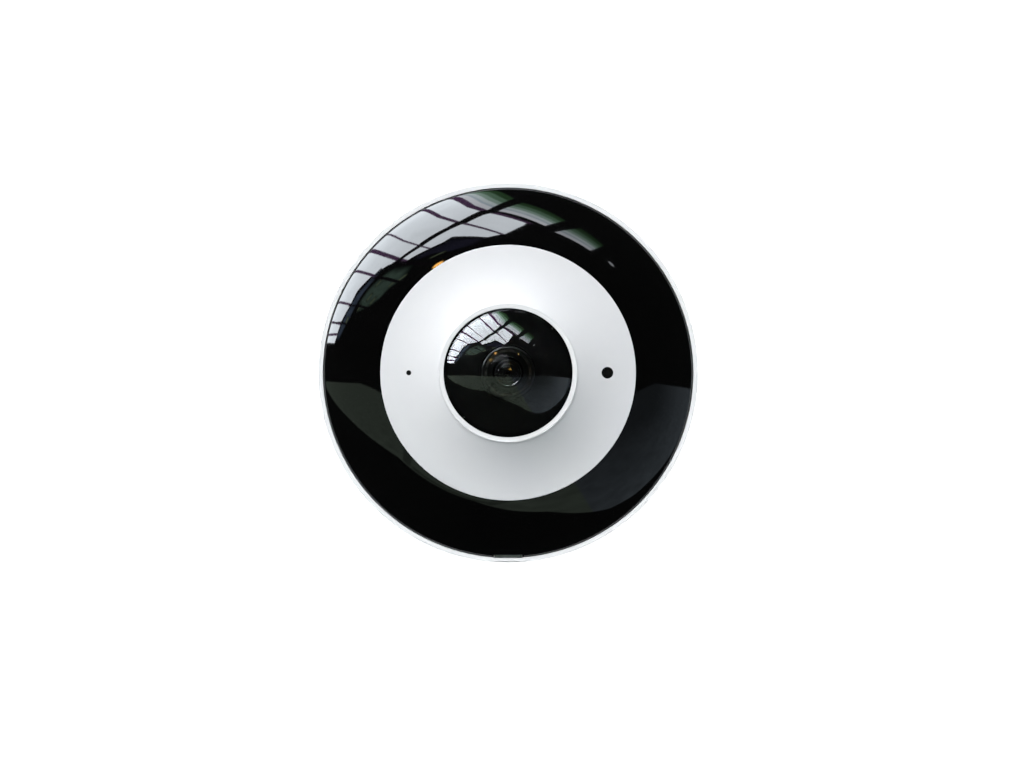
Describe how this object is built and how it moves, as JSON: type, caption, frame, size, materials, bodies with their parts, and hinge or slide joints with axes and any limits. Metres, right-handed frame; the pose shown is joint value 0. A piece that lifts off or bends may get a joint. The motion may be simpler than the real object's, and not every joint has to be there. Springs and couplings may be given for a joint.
{
  "type": "fisheye ip camera",
  "caption": "Round surface-mount fisheye network camera: clear dome, white flared cover, black infrared window ring, twist-on mounting plate.",
  "frame": {"origin": "centre of the mounting plate's back face, which lies on the ceiling, wall or table", "axes": "+Z along the lens axis away from the mounting surface, +Y towards the cable bay (up in the picture), -Y towards the release tab, -X towards the microphone hole"},
  "size_m": [0.15, 0.15, 0.0583],
  "materials": {
    "plate_metal": "matt powder coat",
    "housing_white": "fine satin paint",
    "trim_white": "satin moulded",
    "cover_white": "satin moulded",
    "window_black": "polished, infrared clear",
    "dome_clear": "clear polycarbonate, polished",
    "black_plastic": "matt moulded",
    "grey_plastic": "satin moulded",
    "smoked_plastic": "smoked, polished",
    "rubber_black": "matt",
    "rubber_grey": "matt",
    "steel": "bright",
    "spring_steel": "drawn wire",
    "barrel_black": "black anodised",
    "ring_grey": "satin anodised",
    "lens_glass": "coated, polished",
    "cut_glass": "dichroic coated",
    "magnet_metal": "nickel plated",
    "copper_wire": "enamelled copper",
    "board_green": "solder mask over glass fibre",
    "chip_black": "moulded epoxy",
    "pad_blue": "soft gap filler",
    "ceramic_white": "fired",
    "can_metal": "bright",
    "brass": "turned",
    "gold_contact": "gold plated",
    "connector_ivory": "moulded",
    "ribbon_film": "polyimide film",
    "terminal_green": "moulded"
  },
  "bodies": {
    "mount": {"mounting_plate": "plate_metal"},
    "camera": {"rear_housing": "housing_white", "housing_seal": "rubber_grey", "trim_ring": "trim_white", "ir_window": "window_black", "front_cover": "cover_white", "cover_screws": "steel", "dome": "dome_clear", "dome_seal": "rubber_grey", "dome_clamp_ring": "black_plastic", "lens_mask": "black_plastic", "light_baffle": "rubber_black", "tab_spring": "spring_steel", "front_board": "board_green", "microphone": "can_metal", "microphone_boot": "rubber_black", "light_sensor": "chip_black", "sensor_window": "smoked_plastic", "ir_led_board": "board_green", "ir_leds": "ceramic_white", "led_lenses": "lens_glass", "lens_barrel": "barrel_black", "lens_front_element": "lens_glass", "lens_front_ring": "ring_grey", "lens_inner_elements": "lens_glass", "lens_lock_ring": "barrel_black", "lens_holder": "black_plastic", "filter_coil": "copper_wire", "coil_yoke": "steel", "filter_motor_base": "black_plastic", "image_sensor": "ceramic_white", "sensor_glass": "lens_glass", "sensor_board": "board_green", "board_standoffs": "brass", "main_board": "board_green", "processor": "chip_black", "thermal_pad": "pad_blue", "memory_chips": "chip_black", "control_chips": "chip_black", "power_inductors": "chip_black", "capacitors": "can_metal", "transformers": "chip_black", "board_connectors": "connector_ivory", "clock_battery": "steel", "flat_cables": "ribbon_film", "network_jack": "can_metal", "jack_contacts": "gold_contact", "terminal_block": "terminal_green", "card_socket": "can_metal", "reset_switch": "black_plastic", "board_screws": "steel"},
    "release_tab": {"release_tab": "grey_plastic"},
    "filter_slider": {"filter_slider": "black_plastic", "ir_cut_filter": "cut_glass", "clear_filter": "lens_glass"},
    "filter_arm": {"filter_arm": "black_plastic", "filter_magnet": "magnet_metal"},
    "memory_card": {"memory_card": "black_plastic"},
    "reset_button": {"reset_button": "connector_ivory"}
  },
  "joints": [
    {"name": "bayonet_twist", "type": "hinge", "parent": "mount", "child": "camera", "pos_m": [0, 0, 0.004], "axis": [0, 0, 1], "range_deg": [0, 20]},
    {"name": "release_tab_press", "type": "slide", "parent": "camera", "child": "release_tab", "axis": [0, 1, 0], "range_m": [0, 0.0015], "stiffness_N_per_m": 800, "springref_m": -0.0015, "deforming": ["tab_spring"]},
    {"name": "reset_button_press", "type": "slide", "parent": "camera", "child": "reset_button", "axis": [0, -1, 0], "range_m": [0, 0.0003], "stiffness_N_per_m": 2000, "springref_m": -0.0005},
    {"name": "filter_arm_swing", "type": "hinge", "parent": "camera", "child": "filter_arm", "pos_m": [0, -0.0186, 0.03], "axis": [0, 0, 1], "range_deg": [0, 40.98]},
    {"name": "filter_slide", "type": "slide", "parent": "camera", "child": "filter_slider", "axis": [-1, 0, 0], "range_m": [0, 0.0063]},
    {"name": "memory_card_slide", "type": "slide", "parent": "camera", "child": "memory_card", "axis": [0, 1, 0], "range_m": [0, 0.012]}
  ],
  "couplings": [
    {"joint": "filter_arm_swing", "follows": "filter_slide", "rad_per_m": 113.52}
  ]
}
